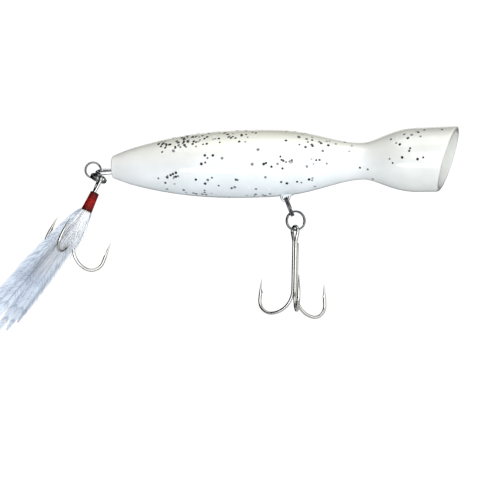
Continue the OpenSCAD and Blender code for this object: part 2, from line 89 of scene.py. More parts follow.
# The split rings
RING_WIRE_D, BELLY_RING_D, TAIL_RING_D = 0.82, 8.8, 7.4
RING_STEP, RING_START, RING_STOP = math.radians(17), math.radians(26), math.radians(694)
# The treble hooks
HOOK_WIRE_D, HOOK_EYE_R, EYE_LEG = 1.35, 2.05, 4.4
SHANK, THIRD_EXTRA = 25.1, 1.2
BEND_R, POINT_BEND_R, POINT_LEAN = 9.8, 5.5, math.radians(4)
POINT_STRAIGHT, POINT_TAPER, BARB_LENGTH = 2.2, 6.9, 2.2
BRAZE_FILM = 0.06
TAPER_STEPS = 8
# How the links hang, in degrees
VIEW_TURN = 9
UPPER_LEAN, LOWER_LEAN, LOWER_TURN, BELLY_HOOK_TURN = 20, 30, 29, 47
FRONT_TURN, REAR_TURN, REAR_FAN, REAR_TWIST, TAIL_HOOK_TURN = 152, -56.5, 60, 35, 18
# The dressing
COLLAR_LENGTH, COLLAR_TOP_D, COLLAR_END_D = 8.8, 3.7, 4.7
WINDING_TURNS, WINDING_POINTS = 31.0, 1200
HAIR_LENGTH, UNDER_HAIR_LENGTH, HAIRS = 38.0, 25.0, 420
DRESSING_SWEEP = math.radians(14)
BUTT_COVER = 0.6
# Clearances
LINK_GAP, COIL_GAP, LEAN_GAP = 0.1, 0.2, 0.04

FACE_X = BODY_LENGTH - LIP_D / 2 * math.tan(FACE_LEAN)
CUP_RIM_R = LIP_D / 2 - RIM
CUP_R = (CUP_RIM_R**2 + CUP_DEPTH**2) / (2 * CUP_DEPTH)
CUP_OUT = CUP_R - CUP_DEPTH
CUP_X = FACE_X + CUP_OUT * math.cos(FACE_LEAN)
CUP_Z = AXIS_LIFT - CUP_OUT * math.sin(FACE_LEAN)
CUP_FLOOR_X = CUP_X - math.sqrt(CUP_R**2 - CUP_Z**2)
TIE_X = CUP_FLOOR_X + TIE_GAP + TIE_EYE_R + WIRE_D / 2
COIL_PITCH = RING_WIRE_D - 0.04
RING_HALF = (RING_WIRE_D + COIL_PITCH) / 2
SHANK_PITCH = HOOK_WIRE_D + BRAZE_FILM
SHANK_R = SHANK_PITCH / math.sqrt(3)
COLLAR_TOP = EYE_LEG + 0.5
COLLAR_BOTTOM = COLLAR_TOP + COLLAR_LENGTH


def ease(t):
    return (1 - math.cos(math.pi * t)) / 2


def body_r(x):
    """Radius of the body at a distance from the tail face."""
    if x < BELLY_X:
        slim = (1 - max(x, 0) / BELLY_X) ** TAIL_POWER
        return BELLY_D / 2 - (BELLY_D - TAIL_D) / 2 * slim
    if x < WAIST_X:
        t = ((x - BELLY_X) / (WAIST_X - BELLY_X)) ** TAPER_SKEW
        return BELLY_D / 2 - (BELLY_D - WAIST_D) / 2 * ease(t)
    if x < HEAD_X:
        t = ((x - WAIST_X) / (HEAD_X - WAIST_X)) ** FLARE_SKEW
        return WAIST_D / 2 + (HEAD_D - WAIST_D) / 2 * ease(t)
    return HEAD_D / 2 + (LIP_D - HEAD_D) / 2 * (x - HEAD_X) / (BODY_LENGTH - HEAD_X)


# --------------------------------------------------------- small helpers ----
def vec(*c):
    return np.array(c, float)


def unit(v):
    return v / np.linalg.norm(v)


def turned(v, axis, angle):
    return (
        v * math.cos(angle)
        + np.cross(axis, v) * math.sin(angle)
        + axis * np.dot(axis, v) * (1 - math.cos(angle))
    )


def heading(degrees):
    """A level direction, turned from +X towards +Y."""
    a = math.radians(degrees)
    return vec(math.cos(a), math.sin(a), 0)


def spin_z(angle):
    """The matrix that turns rows of points about Z, as points @ spin_z(angle)."""
    c, s = math.cos(angle), math.sin(angle)
    return np.array([[c, s, 0], [-s, c, 0], [0, 0, 1]])


def frame_of(z, x):
    """Three axes: Z along z, X as near x as it can be."""
    k = unit(z)
    i = unit(x - k * np.dot(x, k))
    return np.array([i, np.cross(k, i), k])


def placed(points, at, axes):
    return np.asarray(points, float) @ axes + at


def mesh_of(name, points, faces, sharp=40.0):
    """A smooth-shaded mesh from points in millimetres.

    Its doubles are merged and its faces turned outwards.
    """
    mesh = bpy.data.meshes.new(name)
    mesh.from_pydata((np.asarray(points) * MM).tolist(), [], faces)
    bm = bmesh.new()
    bm.from_mesh(mesh)
    bmesh.ops.remove_doubles(bm, verts=bm.verts, dist=2e-6)
    bmesh.ops.recalc_face_normals(bm, faces=bm.faces)
    bm.to_mesh(mesh)
    bm.free()
    mesh.polygons.foreach_set("use_smooth", [True] * len(mesh.polygons))
    mesh.set_sharp_from_angle(angle=math.radians(sharp))
    return mesh


def piece(name, mesh, material, body, nodes=()):
    """Puts a finished mesh in the scene, riding a body and standing for its CAD nodes."""
    obj = bpy.data.objects.new(name, mesh)
    bpy.context.scene.collection.objects.link(obj)
    if material:
        mesh.materials.clear()
        mesh.materials.append(material)
    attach(obj, body)
    if nodes:
        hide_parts(*nodes)
    return obj


def band_faces(rows, sides, closed=False):
    """The faces between rows of points that each go once round."""
    faces = []
    for i in range(rows if closed else rows - 1):
        a, b = i * sides, (i + 1) % rows * sides
        for k in range(sides):
            m = (k + 1) % sides
            faces.append((a + k, a + m, b + m, b + k))
    return faces


def sweep(path, radii, sides):
    """A closed round tube along a path; radii holds one radius for each point."""
    p = np.asarray(path, float)
    t = np.gradient(p, axis=0)
    t /= np.linalg.norm(t, axis=1)[:, None]
    n = np.cross(t[0], vec(1, 0, 0) if abs(t[0][0]) < 0.9 else vec(0, 1, 0))
    points = []
    for i, centre in enumerate(p):
        n = unit(n - t[i] * np.dot(n, t[i]))
        b = np.cross(t[i], n)
        for k in range(sides):
            a = 2 * math.pi * k / sides
            points.append(centre + radii[i] * (n * math.cos(a) + b * math.sin(a)))
    faces = band_faces(len(p), sides)
    faces.append(tuple(range(sides - 1, -1, -1)))
    faces.append(tuple((len(p) - 1) * sides + k for k in range(sides)))
    return points, faces


def lathe(profile, sides, at, closed=False):
    """A profile of (radius, height) points turned about Z at a place."""
    points = []
    for r, z in profile:
        for k in range(sides):
            a = 2 * math.pi * k / sides
            points.append(at + vec(r * math.cos(a), r * math.sin(a), z))
    return points, band_faces(len(profile), sides, closed)


def join(*parts):
    points, faces = [], []
    for ps, fs in parts:
        base = len(points)
        points.extend(ps)
        faces.extend(tuple(base + i for i in f) for f in fs)
    return points, faces


def rounded_ends(path, radius):
    """The path and radii of a cut wire with its two ends broken round."""
    p = [np.asarray(q, float) for q in path]
    start, end = unit(p[1] - p[0]), unit(p[-1] - p[-2])
    soft = radius * 0.3
    steps = [(0.0, 0.75), (0.35, 0.93), (1.0, 1.0)]
    head = [p[0] + start * soft * s for s, _ in steps]
    tail = [p[-1] - end * soft * s for s, _ in reversed(steps)]
    radii = [radius * r for _, r in steps]
    return head + p[1:-1] + tail, radii + [radius] * (len(p) - 2) + radii[::-1]


# ------------------------------------------------------------- materials ----
def srgb(code):
    """An sRGB hex colour as linear RGBA."""
    c = [int(code[i : i + 2], 16) / 255 for i in (1, 3, 5)]
    return tuple(v / 12.92 if v <= 0.04045 else ((v + 0.055) / 1.055) ** 2.4 for v in c) + (1.0,)


def node(tree, kind, settings=None, **inputs):
    """Adds a node with its settings; an input is a value or another node's socket.

    An input goes by its name, or by i and its number.
    """
    n = tree.nodes.new(kind)
    for key, value in (settings or {}).items():
        setattr(n, key, value)
    for key, value in inputs.items():
        numbered = key[0] == "i" and key[1:].isdigit()
        socket = n.inputs[int(key[1:]) if numbered else key.replace("_", " ")]
        if isinstance(value, bpy.types.NodeSocket):
            tree.links.new(value, socket)
        else:
            socket.default_value = value
    return n


def material(name, **surface):
    """A principled material. Linked inputs are added by the caller."""
    m = bpy.data.materials.new(name)
    m.use_nodes = True
    shader = m.node_tree.nodes["Principled BSDF"]
    for key, value in surface.items():
        shader.inputs[key.replace("_", " ")].default_value = value
    return m, m.node_tree, shader


def ramp(tree, factor, stops, mode="LINEAR"):
    """A colour ramp from (position, hex) stops."""
    r = node(tree, "ShaderNodeValToRGB", Fac=factor)
    r.color_ramp.interpolation = mode
    while len(r.color_ramp.elements) < len(stops):
        r.color_ramp.elements.new(1.0)
    for e, (place, code) in zip(r.color_ramp.elements, stops):
        e.position = place
        e.color = srgb(code)
    return r.outputs["Color"]


def object_place(tree):
    return node(tree, "ShaderNodeTexCoord").outputs["Object"]


def attribute(tree, key):
    """A number kept on the mesh under a name, as a shader reads it."""
    return node(tree, "ShaderNodeAttribute", {"attribute_name": key}).outputs["Fac"]


def map_range(tree, value, low=0.0, high=1.0, to_low=0.0, to_high=1.0):
    """A value carried from one range to another, and held inside it."""
    sizes = {"From_Min": low, "From_Max": high, "To_Min": to_low, "To_Max": to_high}
    return node(tree, "ShaderNodeMapRange", Value=value, **sizes).outputs[0]


def colour_mix(tree, factor, first, second, blend="MIX"):
    settings = {"data_type": "RGBA", "blend_type": blend}
    return node(tree, "ShaderNodeMix", settings, i0=factor, i6=first, i7=second).outputs[2]


# Body: ABS shells, sprayed pearl white and dipped in clear epoxy. The coat is
# what gives the wet gloss; the paint below is soft and slightly uneven. Its
# colour has light painted in: warm on top, cool bluish shade below, grey shade at the head.
# Heights over which the painted light tint runs, from cool painted shade below to warm painted
# light on top
LIGHT_TINT_LOW, LIGHT_TINT_HIGH = -12.5 * MM, 16.5 * MM
# Where the painted grey shade on the head starts and ends
HEAD_SHADE_START, HEAD_SHADE_END = -36 * MM, -12 * MM
shell_paint, t, s = material(
    "pearl_white_on_abs", Roughness=0.34, Coat_Weight=1.0, Coat_Roughness=0.04, Coat_IOR=1.5
)
xyz = node(t, "ShaderNodeSeparateXYZ", Vector=object_place(t))
# Painted light: a cool bluish painted shade low on the body and a warm painted light tint on top
painted_light_by_height = ramp(
    t,
    map_range(t, xyz.outputs["Z"], LIGHT_TINT_LOW, LIGHT_TINT_HIGH),
    [(0.0, "#E6F0F6"), (0.3, "#F4F8FA"), (0.6, "#F8F8F5"), (1.0, "#EFEFDF")],
)
# Painted shade: the body colour greys towards the head
head_shade_amount = map_range(t, xyz.outputs["X"], HEAD_SHADE_START, HEAD_SHADE_END, to_high=0.75)
head_shaded = colour_mix(t, head_shade_amount, painted_light_by_height, srgb("#E6E7E2"))
cloud = node(t, "ShaderNodeTexNoise", Vector=object_place(t), Scale=70.0, Detail=3.0)
clouded = ramp(t, cloud.outputs["Fac"], [(0.35, "#F3F3F2"), (0.65, "#FFFFFF")])
t.links.new(colour_mix(t, 0.8, head_shaded, clouded, "MULTIPLY"), s.inputs["Base Color"])
# Faint orange peel, 2 mm across, as a dipped coat leaves
peel = node(t, "ShaderNodeTexNoise", Vector=object_place(t), Scale=500.0, Detail=1.0)
bump = node(t, "ShaderNodeBump", Strength=0.05, Distance=0.0001, Height=peel.outputs["Fac"])
t.links.new(bump.outputs[0], s.inputs["Coat Normal"])

# Glitter: punched foil under the coat, most of it black or smoke grey and a
# few bits bright silver. Each bit has its own tone.
FOIL_TONES = [
    (0.0, "#060607"), (0.42, "#2A2B2E"), (0.62, "#77797D"), (0.84, "#A6A8AC"), (0.95, "#F8F8F6"),
]
glitter, t, s = material(
    "foil_glitter", Metallic=0.2, Roughness=0.4, Coat_Weight=0.3, Coat_Roughness=0.05
)
t.links.new(ramp(t, attribute(t, "tone"), FOIL_TONES, "CONSTANT"), s.inputs["Base Color"])


def metal(name, dark, light, rough, grain, stretch, depth=0.00002):
    """A drawn or plated metal: two close tones and fine lines or grain."""
    m, t, s = material(name, Metallic=1.0)
    at = node(t, "ShaderNodeMapping", Vector=object_place(t), Scale=stretch)
    noise = node(t, "ShaderNodeTexNoise", Vector=at.outputs[0], Scale=grain, Detail=4.0)
    t.links.new(ramp(t, noise.outputs["Fac"], [(0.3, dark), (0.7, light)]), s.inputs["Base Color"])
    tones = map_range(t, noise.outputs["Fac"], to_low=rough * 0.75, to_high=rough * 1.3)
    t.links.new(tones, s.inputs["Roughness"])
    b = node(t, "ShaderNodeBump", Strength=0.08, Distance=depth, Height=noise.outputs["Fac"])
    t.links.new(b.outputs[0], s.inputs["Normal"])
    return m


# Stainless spring wire, drawn through a die: fine lines along it
drawn_steel = metal("drawn_stainless_wire", "#B9BBBE", "#CFD0D2", 0.22, 600.0, (0.1, 1, 1))
# Split rings: stamped stainless, tumbled and darkened a little
ring_steel = metal("tumbled_stainless_ring", "#5E6062", "#7B7D7F", 0.14, 250.0, (1, 1, 1))
# Hooks: forged high carbon steel under bright nickel, a touch warm
nickel = metal("bright_nickel_plate", "#BDBCB8", "#D2D1CD", 0.14, 160.0, (1, 1, 1))
# Braze: silver solder under the plating, rounder and duller than the wire
braze = metal("silver_braze", "#9C968A", "#BDB7A6", 0.33, 1200.0, (1, 1, 1), 0.00005)
# Cast lead weights, dull with a mould's grain
lead = metal("cast_lead", "#55585C", "#74777A", 0.55, 1500.0, (1, 1, 1), 0.00008)
# Rattle balls: hardened steel, ground and polished
ball_steel = metal("polished_ball_steel", "#B8B9BB", "#D8D9DA", 0.1, 300.0, (1, 1, 1))

# Collar: red polyester tying thread under head cement, which fills between
# the turns and shines; the red is darker towards both ends of the collar.
REDS = [(0.0, "#240202"), (0.14, "#7A0603"), (0.5, "#B00C06"), (0.86, "#8C0804"), (1.0, "#3A0302")]
thread, t, s = material(
    "cemented_red_thread",
    Roughness=0.5, Specular_IOR_Level=0.2, Coat_Weight=0.15, Coat_Roughness=0.1,
)
ply = node(t, "ShaderNodeTexNoise", Vector=object_place(t), Scale=1400.0, Detail=2.0)
plies = ramp(t, ply.outputs["Fac"], [(0.35, "#8A8A8A"), (0.65, "#FFFFFF")])
red = colour_mix(t, 0.7, ramp(t, attribute(t, "along"), REDS), plies, "MULTIPLY")
t.links.new(red, s.inputs["Base Color"])


def plume(name, root, low, high, sheen):
    """Hair or feather: each strand has its own tone, and its root is darker."""
    m, t, s = material(name, Roughness=0.55, Sheen_Weight=sheen, Sheen_Roughness=0.4)
    strands = ramp(t, attribute(t, "tone"), [(0.0, low), (0.5, high), (1.0, high)])
    fade = ramp(t, attribute(t, "along"), [(0.0, root), (0.1, "#FFFFFF"), (1.0, "#F1F4FA")])
    t.links.new(colour_mix(t, 1.0, strands, fade, "MULTIPLY"), s.inputs["Base Color"])
    return m


# Bucktail: coarse hollow hair, bleached white, cream at the butts
bucktail = plume("bleached_bucktail", "#F1E9D6", "#E4E9EE", "#FFFFFF", 0.3)
# Saddle hackle: washed white cock feathers with a cool grey cast
hackle = plume("white_saddle_hackle", "#E6E6EA", "#A8B2C1", "#DFE6EE", 0.15)

# The CAD pieces that are kept as they are get their finishes here
for finish, names in (
    (lead, ("tail_weight", "belly_weight")),
    (ball_steel, ("rattle_ball_rear", "rattle_ball_front", "rattle_ball_head")),
    (braze, ("belly_hook_braze", "tail_hook_braze")),
):
    for name in names:
        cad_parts[name].data.materials.clear()
        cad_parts[name].data.materials.append(finish)


# ------------------------------------------------------------ body shells ----
def corner(a, b, c, steps=6):
    """Points round a corner b, from a to c."""
    return [(1 - u) ** 2 * a + 2 * u * (1 - u) * b + u * u * c for u in np.linspace(0, 1, steps)]


def body_line(angle):
    """One line of the skin at an angle round the body.

    It goes from the middle of the tail face out, along the body, over the lip
    and down to the bottom of the cup.
    """
    out = vec(0, math.cos(angle), math.sin(angle))
    axis = vec(0, 0, AXIS_LIFT)
    line = [axis, axis + out * (TAIL_D / 2 - TAIL_ROUND) * 0.5]
    for a in np.linspace(0, math.pi / 2, 7)[:-1]:
        r = TAIL_D / 2 - TAIL_ROUND + TAIL_ROUND * math.sin(a)
        line.append(axis + out * r + vec(TAIL_ROUND * (1 - math.cos(a)), 0, 0))
    # The face leans, so where the line meets it depends on the radius there
    end = FACE_X
    for _ in range(20):
        end = FACE_X + body_r(end) * math.sin(angle) * math.tan(FACE_LEAN)
    stop = end - LIP_ROUND
    for x in np.linspace(TAIL_ROUND, stop, SKIN_ROWS)[:-1]:
        blend = max(0.0, 1 - (x - TAIL_ROUND) / TAIL_BLEND)
        r = body_r(x) - blend * (body_r(TAIL_ROUND) - TAIL_D / 2)
        line.append(axis + out * r + vec(x, 0, 0))
    lip = axis + out * body_r(end) + vec(end, 0, 0)
    normal = vec(math.cos(FACE_LEAN), 0, -math.sin(FACE_LEAN))
    rise = vec(math.sin(FACE_LEAN), 0, math.cos(FACE_LEAN))
    spread = vec(0, math.cos(angle), 0) + rise * math.sin(angle)
    rim = axis + vec(FACE_X, 0, 0) + CUP_RIM_R * spread
    centre = vec(CUP_X, 0, CUP_Z)

    def cup(a):
        return centre - CUP_R * (normal * math.cos(a) - spread * math.sin(a))

    inward = unit(rim - lip)
    line += corner(axis + out * body_r(stop) + vec(stop, 0, 0), lip, lip + inward * LIP_ROUND)
    down = math.asin(CUP_RIM_R / CUP_R) - CUP_EDGE / CUP_R
    line += corner(rim - inward * CUP_EDGE, rim, cup(down))
    line += [cup(a) for a in np.linspace(down, 0, CUP_ROWS)[1:]]
    return [q - vec(TIE_X, 0, 0) for q in line]


def half_shell(side):
    """One moulded half: the skin over half a turn, closed by the flat joint face."""
    columns = [body_line(a) for a in np.linspace(-math.pi / 2, math.pi / 2, SKIN_COLUMNS)]
    rows = len(columns[0])
    points = [q * vec(1, side, 1) for c in columns for q in c]
    faces = []
    for j in range(len(columns) - 1):
        a, b = j * rows, (j + 1) * rows
        faces += [(a + i, b + i, b + i + 1, a + i + 1) for i in range(rows - 1)]
    low = list(range(rows))
    high = [(len(columns) - 1) * rows + i for i in range(rows)]
    faces.append(tuple(low + high[-2:0:-1]))
    return mesh_of("half_shell", points, faces, 50)


shells = {}
for side, way in (("left", 1), ("right", -1)):
    shells[side] = piece(
        "painted_shell_" + side, half_shell(way), shell_paint,
        "lure_body", ["shell_" + side],
    )

# The hanger's boss: a low round pad with a rounded edge and a shallow dish
# that leaves the upper ring room to swing
boss_low = AXIS_LIFT - body_r(HANGER_X) - BOSS_H
boss_profile = [
    (0.0, 0.18), (2.1, 0.18), (2.4, 0.0), (BOSS_D / 2 - 0.5, 0.0), (BOSS_D / 2 - 0.2, 0.05),
    (BOSS_D / 2 - 0.04, 0.2), (BOSS_D / 2, 0.45), (BOSS_D / 2, 2.2), (0.0, 2.2),
]
boss = mesh_of("hanger_boss", *lathe(boss_profile, 48, vec(HANGER_X - TIE_X, 0, boss_low)))
piece("hanger_boss", boss, shell_paint, "lure_body", [])


# --------------------------------------------------------- geometry nodes ----
SOCKETS = {
    int: "NodeSocketInt", float: "NodeSocketFloat", bpy.types.Material: "NodeSocketMaterial",
}


def new_tree(name, **sizes):
    """An empty geometry tree with named inputs, each given as its starting value."""
    tree = bpy.data.node_groups.new(name, "GeometryNodeTree")
    for way in ("INPUT", "OUTPUT"):
        tree.interface.new_socket("Geometry", in_out=way, socket_type="NodeSocketGeometry")
    for key, value in sizes.items():
        socket = tree.interface.new_socket(
            key.replace("_", " "), in_out="INPUT", socket_type=SOCKETS[type(value)]
        )
        socket.default_value = value
    return tree, tree.nodes.new("NodeGroupInput"), tree.nodes.new("NodeGroupOutput")


def finish_tree(tree, result, finish, last):
    """Ends a tree with Realize Instances and Set Material."""
    real = node(tree, "GeometryNodeRealizeInstances", Geometry=result)
    done = node(tree, "GeometryNodeSetMaterial", Geometry=real.outputs[0], Material=finish)
    tree.links.new(done.outputs[0], last.inputs["Geometry"])


def grown(tree, base, **sizes):
    """The mesh that a tree makes from a base mesh, with its inputs set by their identifiers."""
    obj = bpy.data.objects.new("base", base)
    bpy.context.scene.collection.objects.link(obj)
    modifier = obj.modifiers.new("grow", "NODES")
    modifier.node_group = tree
    names = {i.name: i.identifier for i in tree.interface.items_tree if i.in_out == "INPUT"}
    for key, value in sizes.items():
        modifier[names[key.replace("_", " ")]] = value
    view = bpy.context.evaluated_depsgraph_get()
    mesh = bpy.data.meshes.new_from_object(obj.evaluated_get(view), depsgraph=view)
    bpy.data.objects.remove(obj)
    return mesh


def math_node(tree, operation, a, b=0.0):
    return node(tree, "ShaderNodeMath", {"operation": operation}, i0=a, i1=b).outputs[0]


def product(tree, first, *others):
    """Values multiplied one after the other."""
    for other in others:
        first = math_node(tree, "MULTIPLY", first, other)
    return first


def set_place(tree, geometry, x, y, z):
    """The geometry with its points moved to a place."""
    place = node(tree, "ShaderNodeCombineXYZ", X=x, Y=y, Z=z).outputs[0]
    return node(tree, "GeometryNodeSetPosition", Geometry=geometry, Position=place).outputs[0]


def own_place(tree):
    """Where each point of the geometry is, as a node with X, Y and Z outputs."""
    position = node(tree, "GeometryNodeInputPosition").outputs[0]
    return node(tree, "ShaderNodeSeparateXYZ", Vector=position)


def drawn(tree, seed, low=0.0, high=1.0):
    """A number drawn for each point or instance, between two values."""
    draw = node(tree, "FunctionNodeRandomValue", {"data_type": "FLOAT"}, Seed=seed)
    draw.inputs["Min"].default_value = low
    draw.inputs["Max"].default_value = high
    return draw.outputs["Value"]


def stored(tree, geometry, key, value, domain="POINT"):
    """The geometry with a number kept on it under a name."""
    settings = {"data_type": "FLOAT", "domain": domain}
    kind = "GeometryNodeStoreNamedAttribute"
    return node(tree, kind, settings, Geometry=geometry, Name=key, Value=value).outputs[0]


def named(tree, key):
    """The number that a geometry keeps under a name."""
    settings = {"data_type": "FLOAT"}
    return node(tree, "GeometryNodeInputNamedAttribute", settings, Name=key).outputs["Attribute"]


def tube_on(tree, curve, sides, radius, thin=None):
    """A tube of so many sides along a curve, thinned along it where thin is given."""
    if thin is not None:
        curve = node(tree, "GeometryNodeSetCurveRadius", Curve=curve, Radius=thin).outputs[0]
    section = node(tree, "GeometryNodeCurvePrimitiveCircle", Resolution=sides, Radius=radius)
    tube = node(
        tree, "GeometryNodeCurveToMesh",
        Curve=curve, Profile_Curve=section.outputs[0], Fill_Caps=True,
    )
    if thin is not None and "Scale" in tube.inputs:
        tree.links.new(thin, tube.inputs["Scale"])
    return tube.outputs[0]


# Glitter: flat eight-sided bits scattered on the skin, as thick as the
# sparkle chance painted on it.
scatter, given, last = new_tree(
    "glitter_scatter", Bit_size=0.0005, Density=1.0, Thickness=0.00004, Seed=3
)
spots = node(
    scatter, "GeometryNodeDistributePointsOnFaces",
    Mesh=given.outputs["Geometry"],
    Density=product(scatter, named(scatter, "chance"), given.outputs["Density"]),
    Seed=given.outputs["Seed"],
)
bit = node(
    scatter, "GeometryNodeMeshCylinder",
    Vertices=8, Radius=given.outputs["Bit size"], Depth=given.outputs["Thickness"],
)
scattered = node(
    scatter, "GeometryNodeInstanceOnPoints",
    Points=stored(scatter, spots.outputs["Points"], "tone", drawn(scatter, 11)),
    Instance=bit.outputs["Mesh"],
    Rotation=spots.outputs["Rotation"],
    Scale=drawn(scatter, 12, 0.75, 1.15),
)
finish_tree(scatter, scattered.outputs[0], glitter, last)

# Where the glitter is thick. Each cluster has its thickness, its place along
# the body and its reach there, and its height on the side, from -1 to 1, and
# its reach there.
CLUSTERS = (
    (34, 34, 11, 0.8, 0.2), (16, 56, 6, 0.85, 0.14), (20, 27, 6, -0.42, 0.12),
    (13, 41, 6, 0.02, 0.12), (14, 63, 3, -0.02, 0.16), (14, 52, 7, -0.55, 0.12),
    (12, 40, 9, -0.85, 0.12), (12, 66, 5, -0.88, 0.12), (10, 77, 5, 0.02, 0.14),
    (9, 80, 9, 0.8, 0.16), (10, 97, 8, 0.72, 0.2), (9, 81, 6, -0.68, 0.14),
    (8, 90, 5, 0.0, 0.2), (9, 114, 2, -0.6, 0.3), (10, 126, 4, 0.02, 0.12),
    (5, 132, 6, 0.6, 0.3), (8, 138, 4, 0.08, 0.14), (8, 139, 4, -0.9, 0.1),
)
BARE_TAIL, SPARSE_FROM = 21, 92
REAR_SPARKLE, FRONT_SPARKLE = 0.9, 0.6
BITS_PER_SQUARE_METRE = 1.4e4


def sparkle_chance(x, high):
    """How thickly the glitter lies at a place along the body and a height from -1 to 1."""
    if x < BARE_TAIL:
        return 0.0
    chance = REAR_SPARKLE if x < SPARSE_FROM else FRONT_SPARKLE
    for much, at, spread, tall, span in CLUSTERS:
        chance += much * math.exp(-(((x - at) / spread) ** 2) - ((high - tall) / span) ** 2)
    return chance


for side, shell in shells.items():
    skin = shell.data.copy()
    chances = skin.attributes.new("chance", "FLOAT", "POINT")
    for v in skin.vertices:
        x, y, z = (c / MM for c in v.co)
        x += TIE_X
        r = math.hypot(y, z - AXIS_LIFT)
        face = FACE_X + (z - AXIS_LIFT) * math.tan(FACE_LEAN)
        on_skin = abs(y) > 0.02 and r > body_r(x) - 0.2 and x < face - 1.5
        high = (z - AXIS_LIFT) / max(r, 1)
        chances.data[v.index].value = sparkle_chance(x, high) if on_skin else 0.0
    seed = 3 if side == "left" else 8
    bits = grown(scatter, skin, Bit_size=0.6 * MM, Density=BITS_PER_SQUARE_METRE, Seed=seed)
    piece("glitter_" + side, bits, None, "lure_body", [])

# ----------------------------------------------------------------- wires ----
def open_angle(offset, r, leg):
    """The angle round an eye at which a straight leg touches it without a kink."""
    return math.atan2(offset, leg) + math.acos(r / math.hypot(offset, leg))


def eye_points(r, leg, left, right, steps=40):
    """A closed eye as (along, across): out one leg, round and back."""
    a0, a1 = open_angle(left, r, leg), 2 * math.pi - open_angle(right, r, leg)
    arc = [(-r * math.cos(a), r * math.sin(a)) for a in np.linspace(a0, a1, steps)]
    legs = [(-leg + (arc[0][0] + leg) * u, left + (arc[0][1] - left) * u) for u in (0, 0.5)]
    back = [(-leg + (arc[-1][0] + leg) * u, -right + (arc[-1][1] + right) * u) for u in (0.5, 0)]
    return legs + arc + back


tag_gap = WIRE_D + LINK_GAP / 2
nose_leg = TIE_X - (CUP_FLOOR_X - WALL) + 2
tail_leg = TAIL_EYE_REACH - TAIL_EYE_R + TAIL_BAY + 1
tail_mid = -TIE_X - TAIL_EYE_REACH + TAIL_EYE_R
tail_tangent = vec(0, -math.sin(TAIL_EYE_TURN), math.cos(TAIL_EYE_TURN))
tail_eye = [
    vec(tail_mid - a, 0, 0) + tail_tangent * b
    for a, b in eye_points(TAIL_EYE_R, tail_leg, tag_gap, 0)
]
nose_eye = [vec(a, 0, -b) for a, b in eye_points(TIE_EYE_R, nose_leg, 0, tag_gap)]
path = [tail_eye[0] + vec(TAIL_TAG, 0, 0)] + tail_eye
path += nose_eye + [nose_eye[-1] - vec(NOSE_TAG, 0, 0)]
through = mesh_of("through_wire", *sweep(*rounded_ends(path, WIRE_D / 2), sides=20))
piece("through_wire_bent", through, drawn_steel, "lure_body", ["through_wire"])

# The hanger: an eye below the body, and a tag that wraps the through wire
loop_z = AXIS_LIFT - body_r(HANGER_X) - HANGER_DROP + HANGER_R
loop_x = HANGER_X - TIE_X
wrap_r = WIRE_D / 2 + 0.05 + HANGER_WIRE_D / 2
loop = [
    vec(loop_x + b, 0, loop_z - a)
    for a, b in eye_points(HANGER_R, 4, HANGER_WIRE_D + LINK_GAP / 2, 0)
]
wrap = [
    vec(loop_x, wrap_r * math.cos(a), wrap_r * math.sin(a))
    for a in np.linspace(0, math.radians(225), 26)
]
path = [loop[0] + vec(0, 0, 1.5)] + loop + [vec(loop_x, 0, -3.2 * wrap_r)] + wrap
hanger = mesh_of("belly_hanger", *sweep(*rounded_ends(path, HANGER_WIRE_D / 2), sides=18))
piece("belly_hanger_bent", hanger, drawn_steel, "lure_body", ["belly_hanger"])


# ------------------------------------------------------------- split rings ----
def split_ring(outside_d, at, axis, toward, gap_turn):
    """Two turns of round wire, laid flat on each other.

    There is a step where one turn passes to the next, and a cut end on each
    side of it.
    """
    r = (outside_d - RING_WIRE_D) / 2
    path = []
    for a in np.linspace(RING_START, RING_STOP, 190):
        u = min(1.0, max(0.0, (a - 2 * math.pi + RING_STEP) / (2 * RING_STEP)))
        z = COIL_PITCH * (u * u * (3 - 2 * u) - 0.5)
        path.append(vec(r * math.cos(a), r * math.sin(a), z))
    points, faces = sweep(*rounded_ends(path, RING_WIRE_D / 2), sides=14)
    points = np.asarray(points) @ spin_z(math.radians(gap_turn))
    return placed(points, at, frame_of(axis, toward)), faces


UP = vec(0, 0, 1)
SIDE = heading(VIEW_TURN)
NEAR = heading(VIEW_TURN - 90)


def in_view(degrees):
    """A direction in the plane of SIDE and UP, turned from SIDE towards UP."""
    a = math.radians(degrees)
    return math.cos(a) * SIDE + math.sin(a) * UP


half_ring = RING_WIRE_D / 2
belly_r = (BELLY_RING_D - RING_WIRE_D) / 2
tail_r = (TAIL_RING_D - RING_WIRE_D) / 2
ring_grip = half_ring + RING_HALF + LINK_GAP + LEAN_GAP
hook_grip = RING_HALF + HOOK_WIRE_D / 2 + LINK_GAP + LEAN_GAP
eye_grip = half_ring + LINK_GAP + COIL_GAP

# Each link hangs from the one before it, at the pivot between them
lean = math.radians(UPPER_LEAN)
upper_dir, upper_axis = in_view(UPPER_LEAN - 90), in_view(UPPER_LEAN)
pivot_1 = vec(loop_x + HANGER_R * math.sin(lean), 0, loop_z - HANGER_R * math.cos(lean))
upper_at = pivot_1 + (belly_r - (HANGER_WIRE_D / 2 + eye_grip)) * upper_dir
pivot_2 = upper_at + belly_r * upper_dir
lower_side = heading(LOWER_TURN)
lean = math.radians(LOWER_LEAN)
lower_dir = lower_side * math.sin(lean) - UP * math.cos(lean)
lower_at = pivot_2 + (belly_r - ring_grip) * lower_dir
pivot_3 = lower_at - belly_r * UP
belly_hook_dir = unit(vec(-0.02, -0.122, -0.99))
belly_hook_at = pivot_3 + (HOOK_EYE_R - hook_grip) * belly_hook_dir
belly_hook_axes = frame_of(-belly_hook_dir, heading(BELLY_HOOK_TURN))

